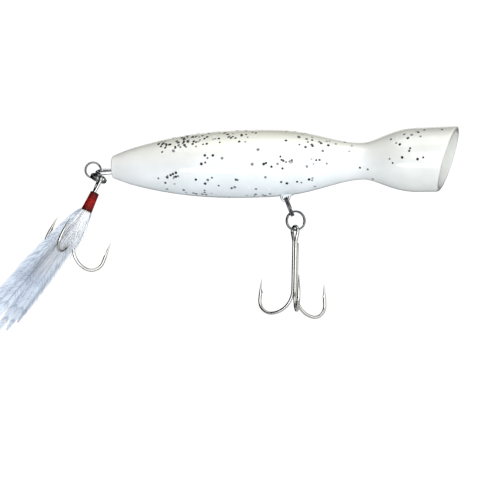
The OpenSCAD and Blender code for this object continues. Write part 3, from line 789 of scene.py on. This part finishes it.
tail_pivot_1 = vec(-TIE_X - TAIL_EYE_REACH, 0, 0)
front_at = tail_pivot_1 + (tail_r - (WIRE_D / 2 + eye_grip)) * in_view(FRONT_TURN)
rear_out, rear_axis = in_view(REAR_TURN), in_view(REAR_TURN + 90)
tail_pivot_2 = front_at + tail_r * rear_out
fan = math.radians(REAR_FAN)
rear_dir = rear_out * math.cos(fan) + NEAR * math.sin(fan)
rear_at = tail_pivot_2 + (tail_r - ring_grip) * rear_dir
rear_normal = turned(rear_axis, rear_dir, math.radians(REAR_TWIST))
tail_pivot_3 = rear_at + tail_r * rear_dir
tail_hook_dir = unit(-0.435 * SIDE + 0.13 * NEAR - 0.891 * UP)
tail_hook_at = tail_pivot_3 + (HOOK_EYE_R - hook_grip) * tail_hook_dir
dressing_axes = frame_of(-tail_hook_dir, SIDE)
tail_hook_axes = spin_z(math.radians(TAIL_HOOK_TURN)) @ dressing_axes

lower_normal = np.cross(lower_side, UP)
for name, size, at, axis, toward, gap_turn, body in (
    ("belly_ring_upper", BELLY_RING_D, upper_at, upper_axis, upper_dir, 70, "belly_upper_link"),
    ("belly_ring_lower", BELLY_RING_D, lower_at, lower_normal, UP, -140, "belly_lower_link"),
    ("tail_ring_front", TAIL_RING_D, front_at, NEAR, UP, -60, "tail_front_link"),
    ("tail_ring_rear", TAIL_RING_D, rear_at, rear_normal, rear_dir, 100, "tail_rear_link"),
):
    mesh = mesh_of(name, *split_ring(size, at, axis, toward, gap_turn))
    piece(name + "_coil", mesh, ring_steel, body, [name])


# ------------------------------------------------------------ treble hooks ----
def limb(azimuth, top, length):
    """One hook of the treble, from its shank round the bend to the point."""
    flat = [(0.0, -top), (0.0, -(top + length) / 2)]
    for a in np.linspace(0, math.pi / 2, 20):
        flat.append((BEND_R * (1 - math.cos(a)), -length - BEND_R * math.sin(a)))
    mid = (BEND_R, -length - BEND_R + POINT_BEND_R)
    for a in np.linspace(0, math.pi / 2 + POINT_LEAN, 17)[1:]:
        flat.append((mid[0] + POINT_BEND_R * math.sin(a), mid[1] - POINT_BEND_R * math.cos(a)))
    lean = (-math.sin(POINT_LEAN), math.cos(POINT_LEAN))
    foot = flat[-1]
    taper = [POINT_STRAIGHT + POINT_TAPER * u for u in np.linspace(0, 1, TAPER_STEPS)[1:]]
    for d in [POINT_STRAIGHT * 0.5, POINT_STRAIGHT] + taper:
        flat.append((foot[0] + d * lean[0], foot[1] + d * lean[1]))
    c, s = math.cos(math.radians(azimuth)), math.sin(math.radians(azimuth))
    return [vec((SHANK_R + a) * c, (SHANK_R + a) * s, b) for a, b in flat]


def limb_radii(count):
    """The wire's radius along a limb: full to the point's foot, then ground to a needle."""
    r = HOOK_WIRE_D / 2
    taper = [r * max(0.06, (1 - u) ** 0.8) for u in np.linspace(0, 1, TAPER_STEPS)[1:]]
    return [r] * (count - len(taper)) + taper


def barb(azimuth, length):
    """A sliver cut and lifted from the wire, on the side of the shank."""
    out = SHANK_R + BEND_R + POINT_BEND_R * math.cos(POINT_LEAN)
    height = -length - BEND_R + POINT_BEND_R * (1 + math.sin(POINT_LEAN))
    foot = POINT_STRAIGHT + 0.6
    # each corner of the outline: out from the wire, up along it, its half width
    full, slim, tip = 0.28, 0.28 * 0.8, 0.28 * 0.35
    rim = [
        (-0.1, foot, full), (-0.57, foot + 0.3, slim), (-1.28, foot, tip),
        (-0.75, foot + 0.75, slim), (-0.3, foot + BARB_LENGTH, full),
        (0.0, foot + BARB_LENGTH, full),
    ]
    c, s = math.cos(POINT_LEAN), math.sin(POINT_LEAN)
    points = []
    for side in (1, -1):
        points += [vec(out + a * c - b * s, side * w, height + a * s + b * c) for a, b, w in rim]
    n = len(rim)
    faces = [tuple(range(n)), tuple(range(2 * n - 1, n - 1, -1))]
    faces += [(i, (i + 1) % n, n + (i + 1) % n, n + i) for i in range(n)]
    return list(np.asarray(points) @ spin_z(math.radians(azimuth))), faces


def treble(name, at, axes, body):
    """The double hook with its eye, and the third hook brazed to it."""
    half = SHANK_PITCH / 2
    eye = [vec(-SHANK_R / 2, b, a) for a, b in eye_points(HOOK_EYE_R, EYE_LEG, half, half)]
    right, left = limb(120, EYE_LEG + 1, SHANK), limb(-120, EYE_LEG + 1, SHANK)
    radii = limb_radii(len(right))[::-1] + [HOOK_WIRE_D / 2] * len(eye) + limb_radii(len(left))
    double = join(sweep(right[::-1] + eye + left, radii, 18), barb(120, SHANK), barb(-120, SHANK))
    third_path = limb(0, EYE_LEG + 0.6, SHANK + THIRD_EXTRA)
    top = third_path[0]
    butt = [top, top - UP * 0.12, top - UP * 0.3]
    third_radii = [HOOK_WIRE_D * 0.36, HOOK_WIRE_D * 0.47] + limb_radii(len(third_path))
    third = join(sweep(butt + third_path[1:], third_radii, 18), barb(0, SHANK + THIRD_EXTRA))
    for part, (points, faces) in (("double", double), ("third", third)):
        node_name = f"{name}_{part}"
        mesh = mesh_of(node_name, placed(points, at, axes), faces, 35)
        piece(node_name + "_forged", mesh, nickel, body, [node_name])


treble("belly_hook", belly_hook_at, belly_hook_axes, "belly_treble")
treble("tail_hook", tail_hook_at, tail_hook_axes, "tail_treble")

# ------------------------------------------------------------ thread collar ----
# One thread wound side by side over a tapered bed, from the eye to the butts.
winding, given, last = new_tree(
    "thread_winding",
    Turns=30.0, Thread=0.00013, Top_radius=0.00178, End_radius=0.00228, Length=0.0086,
)
line = node(winding, "GeometryNodeMeshLine", Count=WINDING_POINTS)
number = node(winding, "GeometryNodeInputIndex").outputs[0]
share = math_node(winding, "DIVIDE", number, WINDING_POINTS - 1.0)
angle = product(winding, share, given.outputs["Turns"], 2 * math.pi)
spread = map_range(
    winding, share, to_low=given.outputs["Top radius"], to_high=given.outputs["End radius"]
)
laid = set_place(
    winding, line.outputs[0],
    product(winding, math_node(winding, "COSINE", angle), spread),
    product(winding, math_node(winding, "SINE", angle), spread),
    product(winding, share, given.outputs["Length"], -1.0),
)
curve = node(winding, "GeometryNodeMeshToCurve", Mesh=stored(winding, laid, "along", share))
tube = tube_on(winding, curve.outputs[0], 6, given.outputs["Thread"])
finish_tree(winding, tube, thread, last)
wound = grown(winding, bpy.data.meshes.new("bare"), Turns=WINDING_TURNS)


def at_hook(mesh, drop):
    """Moves a mesh made about the shank's axis to the tail hook."""
    axes = Matrix([list(a) for a in dressing_axes]).transposed().to_4x4()
    at = tail_hook_at + dressing_axes[2] * -drop
    mesh.transform(Matrix.Translation(Vector(at * MM)) @ axes)
    return mesh


top_r, end_r = COLLAR_TOP_D / 2, COLLAR_END_D / 2
bed_profile = [
    (1.0, -0.05), (top_r - 0.35, 0.0), (top_r - 0.14, -0.12), (top_r - 0.08, -0.4),
    (end_r - 0.1, 0.5 - COLLAR_LENGTH), (end_r - 0.2, 0.2 - COLLAR_LENGTH),
    (end_r - 0.5, -COLLAR_LENGTH), (1.0, 0.05 - COLLAR_LENGTH),
]
bed = mesh_of("thread_bed", *lathe(bed_profile, 40, vec(0, 0, 0), closed=True))
marks = bed.attributes.new("along", "FLOAT", "POINT")
for v in bed.vertices:
    marks.data[v.index].value = min(1.0, max(0.0, -v.co.z / (COLLAR_LENGTH * MM)))
bed = at_hook(bed, COLLAR_TOP)
piece("collar_bed", bed, thread, "tail_treble", ["thread_collar"])
piece("collar_winding", at_hook(wound, COLLAR_TOP + 0.1), None, "tail_treble", [])

# ------------------------------------------------------------ hair, feathers ----
# Bucktail: tapered hairs that start in a small round bunch and part towards
# their tips. Each hair is straight until it is bent by its own amounts.
bunch, given, last = new_tree(
    "hair_bunch",
    Hairs=150, Length=0.038, Root_radius=0.0015, Spread=0.0028, Thickness=0.00016,
    Flatness=0.8, Seed=5,
)
roots = node(bunch, "GeometryNodeMeshLine", Count=given.outputs["Hairs"])
hair_line = node(bunch, "GeometryNodeCurvePrimitiveLine", End=(0, 0, -1))
fine = node(bunch, "GeometryNodeResampleCurve", Curve=hair_line.outputs[0], Count=9)
along = node(bunch, "GeometryNodeSplineParameter").outputs["Factor"]
noted = stored(bunch, fine.outputs[0], "along", along)
thin = product(bunch, math_node(bunch, "POWER", along, 2.0), 0.85)
thin = math_node(bunch, "SUBTRACT", 1.0, thin)
hair = tube_on(bunch, noted, 4, given.outputs["Thickness"], thin)
planted = node(bunch, "GeometryNodeInstanceOnPoints", Points=roots.outputs[0], Instance=hair)
kept = planted.outputs[0]
for key, seed, low, high in (
    ("turn", 21, 0.0, 2 * math.pi),
    ("ring", 22, 0.0, 1.0),
    ("reach", 23, 0.55, 1.0),
    ("tone", 24, 0.0, 1.0),
    ("bow", 25, -1.0, 1.0),
):
    kept = stored(bunch, kept, key, drawn(bunch, seed, low, high), "INSTANCE")
loose = node(bunch, "GeometryNodeRealizeInstances", Geometry=kept)
at = own_place(bunch)
share = named(bunch, "along")
radius = product(bunch, given.outputs["Spread"], math_node(bunch, "POWER", share, 0.7))
radius = math_node(bunch, "ADD", given.outputs["Root radius"], radius)
radius = product(bunch, radius, math_node(bunch, "SQRT", named(bunch, "ring")))
wave = product(bunch, named(bunch, "bow"), 0.0012, math_node(bunch, "POWER", share, 2.0))
turn = named(bunch, "turn")
reach_x = product(bunch, radius, math_node(bunch, "COSINE", turn))
reach_y = product(bunch, radius, math_node(bunch, "SINE", turn), given.outputs["Flatness"])
bent = set_place(
    bunch, loose.outputs[0],
    math_node(bunch, "ADD", math_node(bunch, "ADD", at.outputs["X"], reach_x), wave),
    math_node(bunch, "ADD", at.outputs["Y"], reach_y),
    product(bunch, given.outputs["Length"], named(bunch, "reach"), share, -1.0),
)
finish_tree(bunch, bent, bucktail, last)

# Saddle hackle: barbs set close along a stem on both sides, long in the
# middle and short at the tip, with fluff left out. The stem bows and the
# vane cups a little.
feather, given, last = new_tree(
    "saddle_hackle", Barbs=130, Length=0.06, Half_width=0.0032, Stem=0.00018, Barb=0.0008,
    Bow=0.0, Cup=0.0, Seed=7,
)
spine = node(feather, "GeometryNodeMeshLine", Count=given.outputs["Barbs"])
number = node(feather, "GeometryNodeInputIndex").outputs[0]
many = math_node(feather, "SUBTRACT", given.outputs["Barbs"], 1.0)
share = math_node(feather, "DIVIDE", number, many)
down = product(feather, share, given.outputs["Length"], -1.0)
noted = stored(feather, set_place(feather, spine.outputs[0], 0.0, 0.0, down), "share", share)
# how long the barbs are from the root to the tip, as a share of the longest
swell = node(feather, "ShaderNodeFloatCurve", Value=share)
swell_points = swell.mapping.curves[0].points
swell_points[0].location, swell_points[1].location = (0.0, 0.45), (1.0, 0.16)
for swell_at in ((0.12, 0.85), (0.4, 1.0), (0.72, 0.72), (0.9, 0.38)):
    swell_points.new(*swell_at)
swell.mapping.update()
ragged = drawn(feather, given.outputs["Seed"], 0.82, 1.12)
shade = drawn(feather, 31)
long = product(feather, swell.outputs[0], ragged, given.outputs["Half width"])
both = node(feather, "GeometryNodeJoinGeometry")
for way in (1.0, -1.0):
    # a barb: a narrow strip that lies out and towards the tip, and thins
    strip = node(
        feather, "GeometryNodeMeshGrid", Size_X=1.0, Size_Y=1.0, Vertices_X=4, Vertices_Y=2
    )
    solid = node(
        feather, "GeometryNodeExtrudeMesh", {"mode": "FACES"},
        Mesh=strip.outputs[0], Offset_Scale=0.00003, Individual=False,
    )
    back = node(feather, "GeometryNodeFlipFaces", Mesh=strip.outputs[0])
    closed = node(feather, "GeometryNodeJoinGeometry")
    feather.links.new(solid.outputs[0], closed.inputs[0])
    feather.links.new(back.outputs[0], closed.inputs[0])
    sealed = node(
        feather, "GeometryNodeMergeByDistance", Geometry=closed.outputs[0], Distance=0.000001
    )
    planted = node(
        feather, "GeometryNodeInstanceOnPoints", Points=noted, Instance=sealed.outputs[0]
    )
    kept = planted.outputs[0]
    for key, value in (("long", long), ("tone", shade), ("way", way)):
        kept = stored(feather, kept, key, value, "INSTANCE")
    feather.links.new(kept, both.inputs[0])
loose = node(feather, "GeometryNodeRealizeInstances", Geometry=both.outputs[0])
at = own_place(feather)
tall = product(feather, named(feather, "share"), given.outputs["Length"])
# along the strip from 0 at the stem to 1 at its tip, and across it
u = math_node(feather, "ADD", at.outputs["X"], 0.5)
across = math_node(feather, "ADD", at.outputs["Z"], tall)
width = product(feather, given.outputs["Barb"], math_node(feather, "SUBTRACT", 1.25, u))
wide = product(feather, at.outputs["Y"], width)
reach = product(feather, u, named(feather, "long"))
side_x = product(feather, reach, named(feather, "way"))
tipward = product(feather, named(feather, "long"), 1.5)
curl = product(feather, math_node(feather, "POWER", u, 1.4), tipward)
low = math_node(feather, "SUBTRACT", math_node(feather, "SUBTRACT", wide, curl), tall)
cupped = product(feather, reach, reach, given.outputs["Cup"], 100.0)
bowed = math_node(feather, "POWER", named(feather, "share"), 2.0)
bowed = product(feather, bowed, given.outputs["Bow"])
lifted = math_node(feather, "ADD", across, math_node(feather, "ADD", cupped, bowed))
bent = set_place(feather, loose.outputs[0], side_x, lifted, low)
marked = stored(feather, bent, "along", named(feather, "share"))
# the stem
stem_bow = product(feather, math_node(feather, "POWER", share, 2.0), given.outputs["Bow"])
stem_line = set_place(feather, spine.outputs[0], 0.0, stem_bow, down)
stem_line = stored(feather, stem_line, "along", share)
stem_curve = node(feather, "GeometryNodeMeshToCurve", Mesh=stem_line)
thin = math_node(feather, "SUBTRACT", 1.0, product(feather, share, 0.8))
stem = tube_on(feather, stem_curve.outputs[0], 5, given.outputs["Stem"], thin)
whole = node(feather, "GeometryNodeJoinGeometry")
feather.links.new(marked, whole.inputs[0])
feather.links.new(stem, whole.inputs[0])
finish_tree(feather, whole.outputs[0], hackle, last)


def joined(name, meshes):
    """Several meshes as one, keeping their attributes."""
    bm = bmesh.new()
    for m in meshes:
        bm.from_mesh(m)
    out = bpy.data.meshes.new(name)
    bm.to_mesh(out)
    bm.free()
    for m in meshes[0].materials:
        out.materials.append(m)
    return out


def swept(mesh, tilt=1.0):
    """Leans a bunch made straight down to the dressing's sweep."""
    for v in mesh.vertices:
        v.co.x += v.co.z * math.tan(DRESSING_SWEEP) * tilt
    return mesh


bare = bpy.data.meshes.new("bare")
hairs = []
# each layer of hair: length, spread, seed, and how far it is set over
for reach, spread, seed, shift in ((HAIR_LENGTH, 2.4, 5, 0.0), (UNDER_HAIR_LENGTH, 3.6, 9, 1.3)):
    part = grown(
        bunch, bare,
        Hairs=HAIRS, Length=reach * MM, Root_radius=1.7 * MM, Spread=spread * MM, Seed=seed,
    )
    part = swept(part, 0.75)
    for v in part.vertices:
        v.co.x += shift * MM * min(1.0, -v.co.z / (10 * MM))
    hairs.append(part)
hair_mesh = at_hook(joined("bucktail", hairs), COLLAR_BOTTOM - BUTT_COVER)
piece("bucktail_hair", hair_mesh, None, "tail_treble", ["hair_bundle"])

random.seed(4)
plumes = []
# each feather: length, half width, place across the bunch, place through it,
# roll in degrees, fan in degrees
FEATHERS = (
    (66, 3.4, -0.9, -0.3, 6, -1.0), (64, 3.6, 0.6, 0.5, -12, 1.6),
    (60, 3.5, -1.6, 0.9, 22, -3.4), (61, 3.4, 1.5, -0.8, -20, 3.8),
    (55, 3.3, -1.9, -0.6, 34, -5.2), (56, 3.3, 1.9, 0.2, -38, 5.6),
    (50, 3.1, 0.2, 1.3, 80, 0.5), (52, 3.1, -0.3, -1.4, -70, -0.6),
    (46, 3.0, 1.2, 1.1, 55, 4.4), (47, 3.0, -1.2, -1.2, -50, -4.6),
)
BARBS_PER_MM, BOW_RANGE, CUPPING, BUNCH_FLATNESS = 2.3, 3, 0.35, 0.7
for i, (length, half, x, y, roll, fan) in enumerate(FEATHERS):
    plumed = grown(
        feather, bare,
        Barbs=int(length * BARBS_PER_MM), Length=length * MM, Half_width=half * MM,
        Bow=(0.5 - random.random()) * BOW_RANGE * MM,
        Cup=CUPPING * (1 if y > 0 else -1), Seed=40 + i,
    )
    turn = Matrix.Rotation(math.radians(roll), 4, "Z")
    lean = Matrix.Rotation(math.radians(-fan), 4, "Y")
    plumed.transform(Matrix.Translation((x * MM, y * MM * BUNCH_FLATNESS, 0)) @ lean @ turn)
    plumes.append(swept(plumed))
feather_mesh = at_hook(joined("saddle_hackles", plumes), COLLAR_BOTTOM - BUTT_COVER)
piece("hackle_plumes", feather_mesh, None, "tail_treble", ["hackle_feathers"])

# ------------------------------------------------------- stage and camera ----
FLOOR_X, FLOOR_Z, FLOOR_HALF = -0.06, -0.19, 0.36
floor_mesh = bpy.data.meshes.new("floor")
floor_corners = [
    (FLOOR_X + a * FLOOR_HALF, b * FLOOR_HALF, FLOOR_Z)
    for a, b in ((-1, -1), (1, -1), (1, 1), (-1, 1))
]
floor_mesh.from_pydata(floor_corners, [], [(0, 1, 2, 3)])
floor_finish, t, s = material("matt_pale_floor", Roughness=0.8)
grit = node(t, "ShaderNodeTexNoise", Vector=object_place(t), Scale=900.0)
grits = ramp(t, grit.outputs["Fac"], [(0.3, "#F4F4F4"), (0.7, "#FAFAFA")])
t.links.new(grits, s.inputs["Base Color"])
floor_mesh.materials.append(floor_finish)
floor = bpy.data.objects.new("floor", floor_mesh)
bpy.context.scene.collection.objects.link(floor)
floor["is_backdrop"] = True

# Camera rays see plain white. Other rays see it go dark behind the lure and
# past its tail, which darkens the edges of the metal and the coat.
world = bpy.data.worlds.new("soft_studio")
bpy.context.scene.world = world
world.use_nodes = True
t = world.node_tree
t.nodes.clear()
ray = node(t, "ShaderNodeLightPath")
seen = node(t, "ShaderNodeBackground", Color=(1, 1, 1, 1), Strength=1.05)
generated = node(t, "ShaderNodeTexCoord").outputs["Generated"]
way = node(t, "ShaderNodeSeparateXYZ", Vector=generated)
flank = math_node(t, "MULTIPLY", way.outputs["X"], -1.0)
dark = math_node(t, "MAXIMUM", flank, map_range(t, way.outputs["Y"], 0.1, 0.9))
glow = ramp(t, dark, [(0.0, "#F2F3F4"), (0.2, "#E6E8EA"), (0.42, "#3A3B3D"), (0.7, "#101112")])
lit = node(t, "ShaderNodeBackground", Color=glow, Strength=0.7)
both = node(
    t, "ShaderNodeMixShader",
    i0=ray.outputs["Is Camera Ray"], i1=lit.outputs[0], i2=seen.outputs[0],
)
node(t, "ShaderNodeOutputWorld", Surface=both.outputs[0])


def softbox(name, place, aim, size, power, colour="#FFFFFF"):
    data = bpy.data.lights.new(name, "AREA")
    data.shape, data.size, data.size_y = "RECTANGLE", size[0], size[1]
    data.energy, data.color = power, srgb(colour)[:3]
    light = bpy.data.objects.new(name, data)
    light.location = place
    light.rotation_euler = (Vector(aim) - Vector(place)).to_track_quat("-Z", "Y").to_euler()
    bpy.context.scene.collection.objects.link(light)
    light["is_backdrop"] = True


middle = (-0.07, 0.0, -0.02)
softbox("top_softbox", (-0.05, -0.18, 0.55), middle, (0.7, 0.4), 1.35, "#FFFEFA")
softbox("front_softbox", (0.08, -0.75, 0.12), middle, (0.5, 0.5), 2.1)
softbox("low_fill", (-0.05, -0.45, -0.17), middle, (0.6, 0.12), 0.9, "#EDF5FC")
softbox("back_fill", (-0.1, 0.6, 0.2), middle, (0.5, 0.3), 0.45)
softbox("nose_fill", (0.55, -0.15, 0.0), middle, (0.3, 0.3), 0.5)

# A long lens, far off. The middle of the view is set in millimetres from where
# the wire's line meets the tail face.
LENS, SENSOR_WIDTH = 420.0, 36.0
CAMERA_TURN, CAMERA_ROLL = math.radians(11), math.radians(1.23)
VIEW_WIDTH, VIEW_AHEAD, VIEW_BELOW = 205.728, 54.43, 29.27
camera_data = bpy.data.cameras.new("camera")
camera_data.lens, camera_data.sensor_width = LENS, SENSOR_WIDTH
camera = bpy.data.objects.new("camera", camera_data)
bpy.context.scene.collection.objects.link(camera)
right = vec(math.cos(CAMERA_TURN), math.sin(CAMERA_TURN), 0)
back = vec(math.sin(CAMERA_TURN), -math.cos(CAMERA_TURN), 0)
across = right * math.cos(CAMERA_ROLL) - UP * math.sin(CAMERA_ROLL)
upward = right * math.sin(CAMERA_ROLL) + UP * math.cos(CAMERA_ROLL)
centre = vec(-TIE_X, 0, 0) + VIEW_AHEAD * across - VIEW_BELOW * upward
stand = centre + back * LENS * VIEW_WIDTH / SENSOR_WIDTH
rows = [(across[i], upward[i], back[i], stand[i] * MM) for i in range(3)]
camera.matrix_world = Matrix(rows + [(0, 0, 0, 1)])
camera_data.clip_start, camera_data.clip_end = 0.01, 20.0
bpy.context.scene.camera = camera
bpy.context.scene.view_settings.view_transform = "Standard"

low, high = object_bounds()
